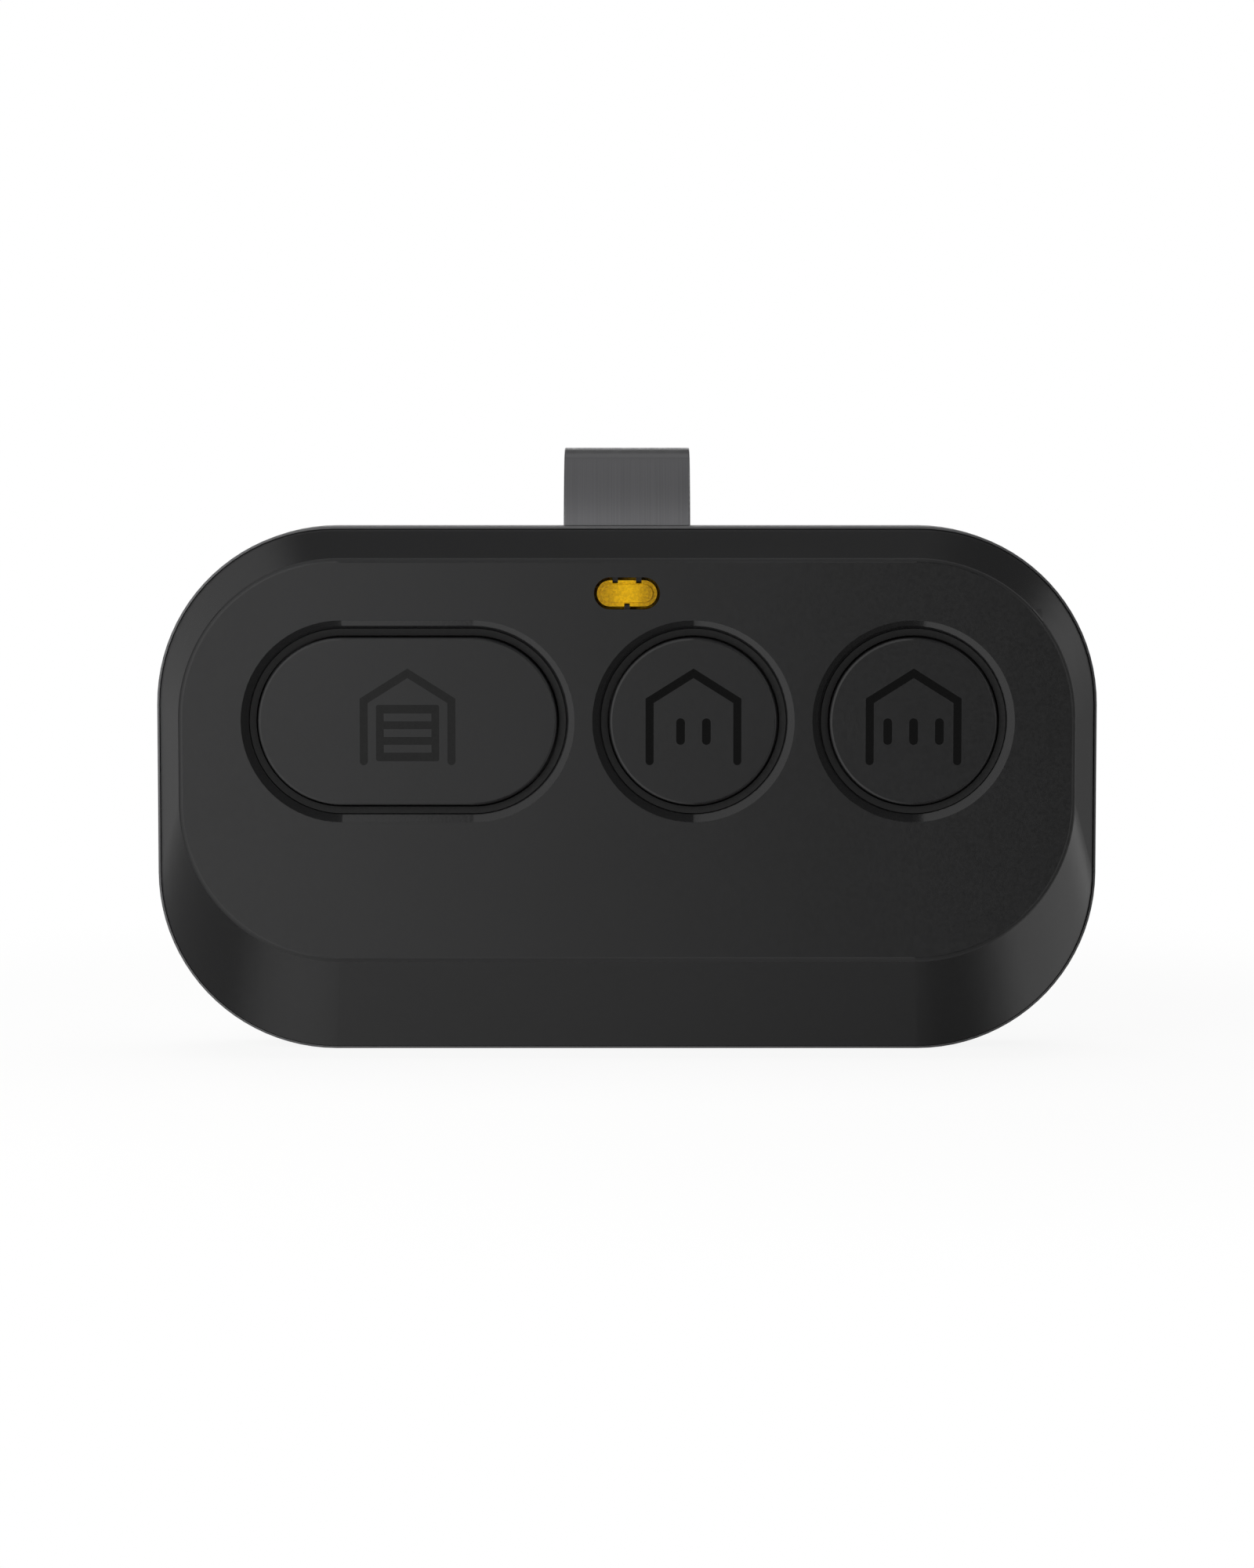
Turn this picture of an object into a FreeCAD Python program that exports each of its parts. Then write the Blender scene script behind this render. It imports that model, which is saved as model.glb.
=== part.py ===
import FreeCAD, Part
import math
import os
from FreeCAD import Vector

# Three-button visor remote for a garage door. It stands upright on its long lower edge.
# X runs to the user's right, Y from the front to the back and Z up, all in millimetres.
# The origin is the middle of the flat lower edge that it stands on.

# Outline of the body, seen from the front
body_width = 83.0
body_height = 46.3
body_corner_radius = 15.7

# Front housing: a flat face inside sloped sides, which is wide at the bottom
front_depth = 7.5
wall = 1.6
face_side_margin = 2.65
face_top_margin = 2.65
face_bottom_margin = 8.9
face_corner_radius = 13.8
face_edge_rounding = 0.4

# Rear housing, whose thin lip runs round the edge of the front housing
rear_depth = 6.6
lip_width = 0.2
lip_depth = 0.5
lip_rounding = 0.16
parting_gap = 0.05
back_edge_rounding = 2.0

# Button row: one long button and two round ones, centred on the face
button_row_shift = 0.06
button_height = 14.6
long_button_length = 26.0
cap_gap = 0.15
collar_width = 0.58
collar_gap = 0.05
collar_recess = 0.6
collar_sink = 0.08
bevel_width = 0.7
bevel_depth = 0.5
ring_spacing = 1.52
cap_rounding = 0.25
cap_wall = 1.2
cap_flange_width = 0.9
cap_flange_thickness = 0.8
cap_rest_gap = 0.05
button_travel = 0.4
press_reserve = 0.35

# Guide plate behind the front wall, with a collar round each cap
guide_thickness = 1.0
guide_margin = 0.9
guide_key_width = 1.4
guide_key_gap = 0.15
stake_radius = 0.6
stake_gap = 0.05
stake_head_radius = 1.0
stake_head_height = 0.4
stake_spread = 5.5

# Pictograms, inlaid in the caps
icon_depth = 0.12
icon_stroke = 0.7
house_half_width = 4.15
house_apex = 4.6
house_eaves = 1.99
house_foot = -3.79
door_half_width = 2.74
door_top = 1.45
door_bottom = -3.45
door_corner_radius = 0.2
door_slot_count = 3
door_slot_height = 0.68
door_frame = 0.67
bar_width = 0.75
bar_height = 2.3
bar_centre = -0.87
bar_pitch = 2.24
middle_bar_count = 2
right_bar_count = 3

# Status lens over the light on the board, above the button row
lens_below_top = 5.6
lens_spacing = 2.32
lens_length = 5.2
lens_height = 2.26
lens_gap = 0.26
lens_rim_width = 0.34
lens_rim_step = 0.14
lens_flange_width = 0.6
lens_flange_thickness = 0.8
lens_notch_width = 0.48
lens_notch_offset = 1.02
lens_rib_depth = 0.5
lamp_length = 3.0
lamp_width = 1.6
lamp_height = 1.2
lamp_gap = 0.2

# Circuit board, held on posts of the front housing
board_thickness = 1.0
board_side_margin = 6.0
board_bottom_margin = 5.8
board_top_margin = 3.3
board_corner_radius = 11.5
board_clearance = 0.3
post_radius = 1.8
post_height_z = 12.5
post_from_edge = 8.5
post_from_cell = 18.22

# Press switches
switch_size = 6.0
switch_height = 1.7
switch_cover_thickness = 0.3
switch_floor = 0.3
plunger_radius = 1.6
plunger_foot_radius = 2.1
plunger_foot_thickness = 0.3
plunger_gap = 0.15

# Screws that join the two housings, and screws that hold the board
boss_radius = 2.5
boss_inset = 8.5
boss_low_z = 11.5
screw_radius = 1.0
screw_length = 8.0
screw_head_radius = 1.9
screw_head_height = 1.3
counterbore_radius = 2.15
counterbore_depth = 1.9
board_screw_radius = 0.8
board_screw_length = 4.0
board_screw_head_radius = 1.5
board_screw_head_height = 0.9
thread_gap = 0.03
shank_gap = 0.1
cross_width = 0.45
cross_share = 0.6

# Coin cell, its holder and its two contacts
cell_radius = 10.0
cell_thickness = 3.2
cell_step_radius = 8.6
cell_step_height = 0.3
cell_gap = 0.15
holder_base = 1.0
holder_wall = 1.2
holder_height = 3.5
contact_thickness = 0.25
contact_width = 4.0
contact_gap = 0.05
contact_window = 5.0
contact_lift = 0.5
contact_foot = 3.5

# Battery cover, a bayonet disc with a coin slot
cover_rim = 1.5
cover_disc_thickness = 1.0
cover_gap = 0.12
cover_edge_rounding = 0.25
cover_spacing = 1.0
spigot_gap = 0.3
spigot_wall = 0.7
cell_end_gap = 0.3
press_ring_radius = 7.0
press_ring_width = 1.0
ledge_thickness = 1.2
ledge_border = 0.9
lug_count = 3
lug_reach = 1.1
lug_thickness = 0.9
lug_width = 4.8
lug_gap = 0.06
cover_turn = 40.0
coin_slot_length = 15.0
coin_slot_width = 1.9
coin_slot_depth = 1.0
seal_thickness = 0.6
seal_gap = 0.04
mark_radius = 0.45
mark_depth = 0.2

# Visor clip, one bent strip of spring steel, and its channel in the back
strap_width = 11.3
strap_thickness = 0.7
strap_corner_radius = 1.6
strap_edge_rounding = 0.12
loop_radius = 8.4
loop_centre_z = 44.7
clip_lean = 22.6
clip_arm_length = 28.5
clip_flare_radius = 5.0
clip_flare_angle = 35.0
clip_end_length = 2.6
channel_depth = 0.95
channel_side_gap = 0.15
channel_face_gap = 0.05
channel_bottom_z = 12.0
channel_floor = 1.25
rail_overhang = 0.75
rail_width = 1.8
rail_proud = 0.65
rail_low_z = 14.0
rail_high_z = 33.0

# Bare label field on the back
label_width = 24.0
label_height = 17.0
label_corner_radius = 1.5
label_depth = 0.2
label_spacing = 2.0

# Parts on the back of the board, left of the battery, placed from the board's left edge
controller_from_edge = 9.0
middle_column_from_edge = 18.0
capacitors_from_edge = 23.5
resistors_from_edge = 26.5
radio_chip_rise = 12.5
antenna_rise = 2.2
small_parts_rise = 7.5
chip_thickness = 1.0
chip_standoff = 0.1
chip_lead_pitch = 0.65
chip_lead_width = 0.3
chip_lead_reach = 0.9
chip_lead_thickness = 0.15
radio_chip_size = (4.4, 5.0)
radio_chip_lead_count = 6
controller_size = (5.3, 7.2)
controller_lead_count = 8
crystal_length = 10.6
crystal_width = 4.5
crystal_height = 3.0
crystal_flange = 0.4
antenna_length = 20.0
antenna_height = 3.0
antenna_wire_radius = 0.4
antenna_bend_radius = 1.2
small_part_size = (1.6, 0.8)
small_part_height = 0.6
small_part_pitch = 2.6
small_part_count = 5

# Depths that follow from the sizes above, from the front to the back
lip_y = -(lip_rounding + rear_depth - back_edge_rounding) / 2
nest_y = lip_y + lip_depth
back_y = lip_y + rear_depth
face_y = lip_y - front_depth
wall_back_y = face_y + wall
guide_back_y = wall_back_y + guide_thickness
flange_front_y = guide_back_y + cap_rest_gap
flange_back_y = flange_front_y + cap_flange_thickness
switch_front_y = flange_back_y + button_travel + press_reserve
board_front_y = switch_front_y + switch_height
board_back_y = board_front_y + board_thickness
holder_floor_y = board_back_y + holder_base
cell_front_y = holder_floor_y + contact_lift
cell_back_y = cell_front_y + cell_thickness
cover_front_y = cell_back_y + cell_end_gap
disc_front_y = back_y - cover_disc_thickness
ledge_front_y = disc_front_y - ledge_thickness
lug_back_y = ledge_front_y - lug_gap
lug_front_y = lug_back_y - lug_thickness
rear_floor_y = back_y - wall

# Places across the front that follow from the sizes above
front_inset = lip_width + parting_gap
button_clearance = cap_gap + collar_width + collar_gap
ring_margin = button_clearance + bevel_width
row_width = long_button_length + 2 * button_height + 6 * ring_margin + 2 * ring_spacing
row_left = button_row_shift - row_width / 2
long_button_x = row_left + ring_margin + long_button_length / 2
middle_button_x = row_left + long_button_length + 3 * ring_margin + ring_spacing + button_height / 2
right_button_x = middle_button_x + button_height + 2 * ring_margin + ring_spacing
lens_z = body_height - lens_below_top
button_row_z = lens_z - lens_spacing - ring_margin - button_height / 2
buttons = {
    "long": (long_button_x, long_button_length),
    "middle": (middle_button_x, button_height),
    "right": (right_button_x, button_height),
}

# Places across the back that follow from the sizes above
strap_front_y = back_y - channel_depth + channel_face_gap
strap_back_y = strap_front_y + strap_thickness
channel_half_width = strap_width / 2 + channel_side_gap
rail_outer_x = channel_half_width + rail_width
spigot_inner_radius = cell_radius + spigot_gap
spigot_radius = spigot_inner_radius + spigot_wall
cover_radius = spigot_radius + cover_rim
cover_x = rail_outer_x + cover_spacing + cover_radius + cover_gap
cover_z = body_height / 2
boss_x = body_width / 2 - boss_inset
bosses = [
    (side * boss_x, z) for side in (-1, 1) for z in (boss_low_z, body_height - boss_inset)
]
board_left_x = board_side_margin - body_width / 2
posts = [(x, post_height_z) for x in (board_left_x + post_from_edge, cover_x - post_from_cell)]
stake_x = (
    (long_button_x + long_button_length / 2 + middle_button_x - button_height / 2) / 2,
    (middle_button_x + right_button_x) / 2,
)
stakes = [(x, button_row_z + side * stake_spread) for x in stake_x for side in (-1, 1)]


# Simple solids

def block(x_low, x_high, y_low, y_high, z_low, z_high):
    """A box between two corners."""
    corner = Vector(x_low, y_low, z_low)
    return Part.makeBox(x_high - x_low, y_high - y_low, z_high - z_low, corner)


def disc(x, z, radius, y_low, y_high):
    """A round bar along Y."""
    return Part.makeCylinder(radius, y_high - y_low, Vector(x, y_low, z), Vector(0, 1, 0))


def rounded_outline(x_low, x_high, z_low, z_high, radius, y):
    """A closed rounded rectangle at depth y, whose sides may vanish between the corners."""
    centres = (
        (x_high - radius, z_low + radius),
        (x_high - radius, z_high - radius),
        (x_low + radius, z_high - radius),
        (x_low + radius, z_low + radius),
    )
    arcs = []
    for quarter, (x, z) in enumerate(centres):
        angles = [math.radians(90 * quarter - 90 + turn) for turn in (0, 45, 90)]
        arcs.append([Vector(x + radius * math.cos(a), y, z + radius * math.sin(a)) for a in angles])
    edges = []
    for arc, following in zip(arcs, arcs[1:] + arcs[:1]):
        edges.append(Part.Arc(*arc).toShape())
        if arc[2].distanceToPoint(following[0]) > 1e-6:
            edges.append(Part.LineSegment(arc[2], following[0]).toShape())
    return Part.Wire(edges)


def pill_outline(x, z, length, height, y):
    """A closed outline with round ends, or a circle where length and height agree."""
    return rounded_outline(
        x - length / 2, x + length / 2, z - height / 2, z + height / 2, height / 2, y
    )


def prism(outline, depth):
    """The outline filled and drawn out along Y."""
    return Part.Face(outline).extrude(Vector(0, depth, 0))


def pill(x, z, length, height, y_low, y_high):
    """A bar along Y with round ends to its section."""
    return prism(pill_outline(x, z, length, height, y_low), y_high - y_low)


def taper(front_outline, back_outline):
    """A solid whose sides run straight from one outline to the other."""
    return Part.makeLoft([front_outline, back_outline], True, True)


def body_outline(inset, y):
    """The outline of the body, drawn in all round."""
    half = body_width / 2 - inset
    radius = body_corner_radius - inset
    return rounded_outline(-half, half, inset, body_height - inset, radius, y)


def edges_at(shape, y):
    """The edges of a solid that lie in the plane at y."""
    return [e for e in shape.Edges if all(abs(v.Y - y) < 1e-4 for v in e.Vertexes)]


def around_cover(shape, degrees):
    """A shape turned about the axis of the battery cover."""
    return shape.rotated(Vector(cover_x, 0, cover_z), Vector(0, 1, 0), degrees)


def screw(x, z, seat_y, radius, length, head_radius, head_height):
    """A pan head screw whose head points to the back, with a cross recess."""
    head = disc(x, z, head_radius, seat_y, seat_y + head_height)
    head = head.makeFillet(head_height / 3, edges_at(head, seat_y + head_height))
    arm = head_radius * cross_share
    top = seat_y + head_height
    for half_x, half_z in ((arm, cross_width / 2), (cross_width / 2, arm)):
        head = head.cut(
            block(x - half_x, x + half_x, top - head_height / 2, top, z - half_z, z + half_z)
        )
    return head.fuse(disc(x, z, radius, seat_y - length, seat_y)).removeSplitter()


# Housings

def front_envelope():
    """The front housing as a full solid: sloped sides, a flat face and a short straight edge."""
    half = body_width / 2 - face_side_margin
    face = rounded_outline(
        -half, half, face_bottom_margin, body_height - face_top_margin, face_corner_radius, face_y
    )
    slopes = taper(face, body_outline(front_inset, lip_y))
    slopes = slopes.makeFillet(face_edge_rounding, edges_at(slopes, face_y))
    return slopes.fuse(prism(body_outline(front_inset, lip_y), lip_depth)).removeSplitter()


def cavity_inset(margin, y):
    """How far the inside lies from the outline at depth y, under a slope that ends at margin."""
    run = margin - front_inset
    return front_inset + run * (lip_y - y) / front_depth + wall * math.hypot(run, front_depth) / front_depth


def cavity_outline(y):
    """The outline of the hollow in the front housing at depth y."""
    half = body_width / 2 - cavity_inset(face_side_margin, y)
    share = (lip_y - y) / front_depth
    radius = (
        (body_corner_radius - front_inset) * (1 - share) + face_corner_radius * share - wall
    )
    return rounded_outline(
        -half, half,
        cavity_inset(face_bottom_margin, y), body_height - cavity_inset(face_top_margin, y),
        radius, y,
    )


def button_opening(x, length):
    """The hole for a button: straight through the wall, with a bevel round its front edge."""
    bevel = taper(
        pill_outline(x, button_row_z, length + 2 * ring_margin, button_height + 2 * ring_margin, face_y),
        pill_outline(
            x, button_row_z,
            length + 2 * button_clearance, button_height + 2 * button_clearance,
            face_y + bevel_depth,
        ),
    )
    hole = pill(
        x, button_row_z,
        length + 2 * button_clearance, button_height + 2 * button_clearance,
        face_y, wall_back_y,
    )
    return bevel.fuse(hole)


def lens_keys(reach, y_low, y_high):
    """The three small ribs of the lens opening, two above and one below."""
    keys = []
    for x, side in ((-lens_notch_offset, 1), (lens_notch_offset, 1), (0, -1)):
        outer = lens_z + side * (lens_height / 2 + lens_gap)
        inner = lens_z + side * (lens_height / 2 - reach)
        keys.append(block(
            x - lens_notch_width / 2, x + lens_notch_width / 2,
            y_low, y_high, min(inner, outer), max(inner, outer),
        ))
    return keys


def front_housing():
    envelope = front_envelope()
    hollow = taper(cavity_outline(wall_back_y), cavity_outline(lip_y))
    hollow = hollow.fuse(prism(cavity_outline(lip_y), lip_depth))
    shell = envelope.cut(hollow)

    inside = [disc(x, z, boss_radius, wall_back_y, nest_y) for x, z in bosses]
    inside += [disc(x, z, post_radius, wall_back_y, board_front_y) for x, z in posts]
    inside = [solid.common(envelope) for solid in inside]
    for x, z in stakes:
        inside.append(disc(x, z, stake_radius, wall_back_y, guide_back_y + stake_head_height))
        inside.append(disc(x, z, stake_head_radius, guide_back_y, guide_back_y + stake_head_height))
    shell = shell.fuse(inside)

    cuts = [button_opening(x, length) for x, length in buttons.values()]
    lens_hole = pill(
        0, lens_z, lens_length + 2 * lens_gap, lens_height + 2 * lens_gap, face_y, wall_back_y
    )
    keys = lens_keys(lens_gap / 2, face_y + lens_rib_depth, wall_back_y)
    cuts.append(lens_hole.cut(Part.makeCompound(keys)))
    pilot_end_y = counterbore_seat_y() - screw_length - board_clearance
    cuts += [disc(x, z, screw_radius + thread_gap, pilot_end_y, nest_y) for x, z in bosses]
    board_pilot_y = board_back_y - board_screw_length - board_clearance
    cuts += [
        disc(x, z, board_screw_radius + thread_gap, board_pilot_y, board_front_y) for x, z in posts
    ]
    return shell.cut(cuts).removeSplitter()


def counterbore_seat_y():
    """The depth at which the heads of the housing screws sit."""
    return back_y - counterbore_depth


def cover_seat(shell):
    """The rear housing with the stepped hole and the bayonet ledge of the battery cover."""
    border = cover_radius + cover_gap + ledge_border
    shell = shell.fuse(disc(cover_x, cover_z, border, ledge_front_y, rear_floor_y))
    recess = disc(cover_x, cover_z, cover_radius + cover_gap, disc_front_y, back_y)
    hole = disc(cover_x, cover_z, spigot_radius + cover_gap, ledge_front_y, disc_front_y)
    entries = [
        lug(lug_reach + cover_gap, lug_width + 4 * cover_gap, ledge_front_y, disc_front_y,
            index * 360 / lug_count + cover_turn)
        for index in range(lug_count)
    ]
    return shell.cut([recess, hole] + entries)


def lug(reach, width, y_low, y_high, degrees):
    """A tooth that stands out from the spigot, at an angle round the axis of the cover."""
    radius = spigot_radius + reach
    half = width / 2
    bar = block(
        cover_x + spigot_inner_radius, cover_x + radius, y_low, y_high, cover_z - half, cover_z + half
    )
    return around_cover(bar.common(disc(cover_x, cover_z, radius, y_low, y_high)), degrees)


def cover_mark(radius, degrees, y):
    """A small dimple that shows how far the cover is turned."""
    dimple = disc(cover_x, cover_z - radius, mark_radius, y - mark_depth, y)
    return around_cover(dimple, degrees)


def clip_channel(shell):
    """The rear housing with the channel and the two rails that hold the visor clip."""
    floor_y = back_y - channel_depth
    pad = block(
        -rail_outer_x, rail_outer_x, floor_y - channel_floor, rear_floor_y,
        channel_bottom_z - rail_width, body_height - front_inset - wall,
    )
    channel = block(
        -channel_half_width, channel_half_width, floor_y, back_y, channel_bottom_z, body_height
    )
    shell = shell.fuse(pad).cut(channel)
    rails = []
    for side in (-1, 1):
        inner = side * (strap_width / 2 - rail_overhang)
        outer = side * rail_outer_x
        rail = block(
            min(inner, outer), max(inner, outer),
            strap_back_y + channel_face_gap, back_y + rail_proud, rail_low_z, rail_high_z,
        )
        rails.append(rail.makeFillet(rail_proud / 2, edges_at(rail, back_y + rail_proud)))
    return shell.fuse(rails)


def rear_housing():
    shell = prism(body_outline(0, lip_y), rear_depth)
    shell = shell.makeFillet(lip_rounding, edges_at(shell, lip_y))
    shell = shell.makeFillet(back_edge_rounding, edges_at(shell, back_y))
    rebate = prism(body_outline(lip_width, lip_y), lip_depth)
    hollow = prism(body_outline(front_inset + wall, nest_y), rear_floor_y - nest_y)
    shell = shell.cut([rebate, hollow])

    inside = [disc(x, z, boss_radius, nest_y, rear_floor_y) for x, z in bosses]
    inside.append(disc(long_button_x, button_row_z, post_radius, board_back_y, rear_floor_y))
    shell = shell.fuse(inside)
    shell = cover_seat(clip_channel(shell))

    cuts = [disc(x, z, screw_radius + shank_gap, nest_y, back_y) for x, z in bosses]
    cuts += [disc(x, z, counterbore_radius, counterbore_seat_y(), back_y) for x, z in bosses]
    label_right = -rail_outer_x - label_spacing
    cuts.append(prism(rounded_outline(
        label_right - label_width, label_right,
        cover_z - label_height / 2, cover_z + label_height / 2,
        label_corner_radius, back_y - label_depth,
    ), label_depth))
    mark_circle = cover_radius + cover_gap + 2 * mark_radius
    cuts += [cover_mark(mark_circle, degrees, back_y) for degrees in (0, cover_turn)]
    return shell.cut(cuts).removeSplitter()


def battery_cover():
    front = lug_front_y
    cover = disc(cover_x, cover_z, cover_radius, disc_front_y, back_y)
    cover = cover.makeFillet(cover_edge_rounding, edges_at(cover, back_y))
    spigot = disc(cover_x, cover_z, spigot_radius, front, disc_front_y)
    spigot = spigot.cut(disc(cover_x, cover_z, spigot_inner_radius, front, cover_front_y))
    press_ring = disc(
        cover_x, cover_z, press_ring_radius, cell_back_y + contact_gap, cover_front_y
    ).cut(disc(
        cover_x, cover_z, press_ring_radius - press_ring_width, front, cover_front_y
    ))
    lugs = [
        lug(lug_reach, lug_width, lug_front_y, lug_back_y, index * 360 / lug_count)
        for index in range(lug_count)
    ]
    cover = cover.fuse([spigot, press_ring] + lugs)
    slot = pill(
        cover_x, cover_z, coin_slot_length, coin_slot_width, back_y - coin_slot_depth, back_y
    )
    groove = disc(
        cover_x, cover_z, spigot_radius + cover_gap, seal_y() - seal_thickness / 2 - seal_gap,
        seal_y() + seal_thickness / 2 + seal_gap,
    ).cut(disc(
        cover_x, cover_z, seal_ring_radius() - seal_thickness / 2 - seal_gap, front, back_y
    ))
    mark = cover_mark(cover_radius - 3 * mark_radius, 0, back_y)
    return cover.cut([slot, groove, mark]).removeSplitter()


def seal_y():
    """The depth of the rubber ring, in the middle of the ledge."""
    return disc_front_y - ledge_thickness / 2


def seal_ring_radius():
    """The radius of the rubber ring, which stays just inside the hole in the ledge."""
    return spigot_radius + cover_gap / 2 - seal_thickness / 2


def cover_seal():
    return Part.makeTorus(
        seal_ring_radius(), seal_thickness / 2, Vector(cover_x, seal_y(), cover_z), Vector(0, 1, 0)
    )


# Buttons

def house_icon(x):
    """The house outline of one stroke width, open at the foot, with round ends to its legs."""
    rise = math.atan2(house_apex - house_eaves, house_half_width)
    inner_half = house_half_width - icon_stroke
    inner_apex = house_apex - icon_stroke / math.cos(rise)
    inner_eaves = inner_apex - inner_half * math.tan(rise)
    foot = house_foot + icon_stroke / 2
    corners = [
        (-house_half_width, foot), (-house_half_width, house_eaves), (0, house_apex),
        (house_half_width, house_eaves), (house_half_width, foot), (inner_half, foot),
        (inner_half, inner_eaves), (0, inner_apex), (-inner_half, inner_eaves),
        (-inner_half, foot), (-house_half_width, foot),
    ]
    path = Part.makePolygon([Vector(x + across, face_y, button_row_z + up) for across, up in corners])
    house = prism(path, icon_depth)
    leg_centre = house_half_width - icon_stroke / 2
    ends = [
        disc(x + side * leg_centre, button_row_z + foot, icon_stroke / 2, face_y, face_y + icon_depth)
        for side in (-1, 1)
    ]
    return house.fuse(ends).removeSplitter()


def door_icon(x):
    """A panelled door: a plate with a row of slots."""
    door = prism(rounded_outline(
        x - door_half_width, x + door_half_width,
        button_row_z + door_bottom, button_row_z + door_top, door_corner_radius, face_y,
    ), icon_depth)
    half = door_half_width - door_frame
    first = door_bottom + door_frame + door_slot_height / 2 + (
        door_top - door_bottom - 2 * door_frame - (2 * door_slot_count - 1) * door_slot_height
    ) / 2
    slots = []
    for index in range(door_slot_count):
        middle = button_row_z + first + 2 * index * door_slot_height
        slots.append(block(
            x - half, x + half, face_y, face_y + icon_depth,
            middle - door_slot_height / 2, middle + door_slot_height / 2,
        ))
    return door.cut(slots)


def bar_icons(x, count):
    """A row of upright bars with round ends."""
    bars = []
    for index in range(count):
        centre = x + (index - (count - 1) / 2) * bar_pitch
        half = bar_width / 2
        low = button_row_z + bar_centre - bar_height / 2
        bars.append(prism(
            rounded_outline(centre - half, centre + half, low, low + bar_height, half, face_y),
            icon_depth,
        ))
    return bars


def button_icon(name):
    """The pictogram of one button, as thin inlays in the face of its cap."""
    x = buttons[name][0]
    inner = {
        "long": [door_icon(x)],
        "middle": bar_icons(x, middle_bar_count),
        "right": bar_icons(x, right_bar_count),
    }[name]
    return Part.makeCompound([house_icon(x)] + inner)


def button_cap(name):
    """A hollow cap with a flange behind the guide plate and a stud over its switch."""
    x, length = buttons[name]
    cap = pill(x, button_row_z, length, button_height, face_y, flange_back_y)
    cap = cap.makeFillet(cap_rounding, edges_at(cap, face_y))
    flange = pill(
        x, button_row_z, length + 2 * cap_flange_width, button_height + 2 * cap_flange_width,
        flange_front_y, flange_back_y,
    )
    pocket = pill(
        x, button_row_z, length - 2 * cap_wall, button_height - 2 * cap_wall,
        face_y + cap_wall, flange_back_y,
    )
    stud = disc(x, button_row_z, plunger_radius, face_y + cap_wall, flange_back_y)
    cap = cap.fuse(flange).cut(pocket).fuse(stud)
    cap = cap.cut(guide_key(x, guide_key_gap))
    return cap.cut(button_icon(name)).removeSplitter()


def guide_key(x, gap):
    """The rib of the guide plate that keeps a cap from turning, with room round it."""
    outer = button_row_z - button_height / 2 - cap_flange_width
    half = guide_key_width / 2 + gap
    return block(
        x - half, x + half, guide_back_y, flange_back_y, outer - gap, outer + cap_flange_width / 2 + gap
    )


def button_guide():
    """The plate that carries the three caps, with collars whose front edges sink to the caps."""
    reach = button_height / 2 + cap_gap + collar_width + guide_margin
    left = long_button_x - long_button_length / 2 - cap_gap - collar_width - guide_margin
    right = right_button_x + reach
    plate = prism(rounded_outline(
        left, right, button_row_z - reach, button_row_z + reach, reach, wall_back_y
    ), guide_thickness)
    collar_extra = 2 * (cap_gap + collar_width)
    collars = [
        pill(x, button_row_z, length + collar_extra, button_height + collar_extra,
             face_y + collar_recess, wall_back_y)
        for x, length in buttons.values()
    ]
    keys = [guide_key(x, 0) for x, _ in buttons.values()]
    front_y = face_y + collar_recess
    sinks = [
        taper(
            pill_outline(x, button_row_z, length + collar_extra, button_height + collar_extra, front_y),
            pill_outline(
                x, button_row_z, length + 2 * cap_gap, button_height + 2 * cap_gap, front_y + collar_sink
            ),
        )
        for x, length in buttons.values()
    ]
    holes = [
        pill(x, button_row_z, length + 2 * cap_gap, button_height + 2 * cap_gap, face_y, guide_back_y)
        for x, length in buttons.values()
    ]
    holes += [disc(x, z, stake_radius + stake_gap, wall_back_y, guide_back_y) for x, z in stakes]
    holes += [disc(x, z, boss_radius + board_clearance, wall_back_y, guide_back_y) for x, z in bosses]
    return plate.fuse(collars).cut(sinks + holes).fuse(keys).removeSplitter()


def light_pipe():
    """The amber lens: a raised window with a rim, notches for the ribs, and a flange inside."""
    body = pill(0, lens_z, lens_length, lens_height, face_y + lens_rim_step, lamp_front_y() - lamp_gap)
    window = pill(
        0, lens_z, lens_length - 2 * lens_rim_width, lens_height - 2 * lens_rim_width,
        face_y, face_y + lens_rim_step,
    )
    window = window.makeFillet(lens_rim_step / 2, edges_at(window, face_y))
    flange = pill(
        0, lens_z, lens_length + 2 * lens_flange_width, lens_height + 2 * lens_flange_width,
        wall_back_y, wall_back_y + lens_flange_thickness,
    )
    notches = lens_keys(lens_gap, face_y, wall_back_y)
    return body.fuse(window).cut(notches).fuse(flange).removeSplitter()


# Circuit board and what it carries

def lamp_front_y():
    """The depth of the front of the status light."""
    return board_front_y - lamp_height


def circuit_board():
    half = body_width / 2 - board_side_margin
    board = prism(rounded_outline(
        -half, half, board_bottom_margin, body_height - board_top_margin,
        board_corner_radius, board_front_y,
    ), board_thickness)
    notches = [
        disc(x, z, boss_radius + board_clearance, board_front_y, board_back_y) for x, z in bosses
    ]
    holes = [
        disc(x, z, board_screw_radius + shank_gap, board_front_y, board_back_y) for x, z in posts
    ]
    return board.cut(notches + holes).removeSplitter()


def status_light():
    half = lamp_length / 2
    return block(
        -half, half, lamp_front_y(), board_front_y, lens_z - lamp_width / 2, lens_z + lamp_width / 2
    )


def switch_square(x, y_low, y_high):
    """The square block of a press switch behind a cap."""
    half = switch_size / 2
    return block(x - half, x + half, y_low, y_high, button_row_z - half, button_row_z + half)


def switch_base(x):
    """The moulded base of a press switch, with a round well for the plunger."""
    cover_back_y = switch_front_y + switch_cover_thickness
    base = switch_square(x, cover_back_y, board_front_y)
    well = disc(
        x, button_row_z, plunger_foot_radius + plunger_gap, cover_back_y, board_front_y - switch_floor
    )
    return base.cut(well)


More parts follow.
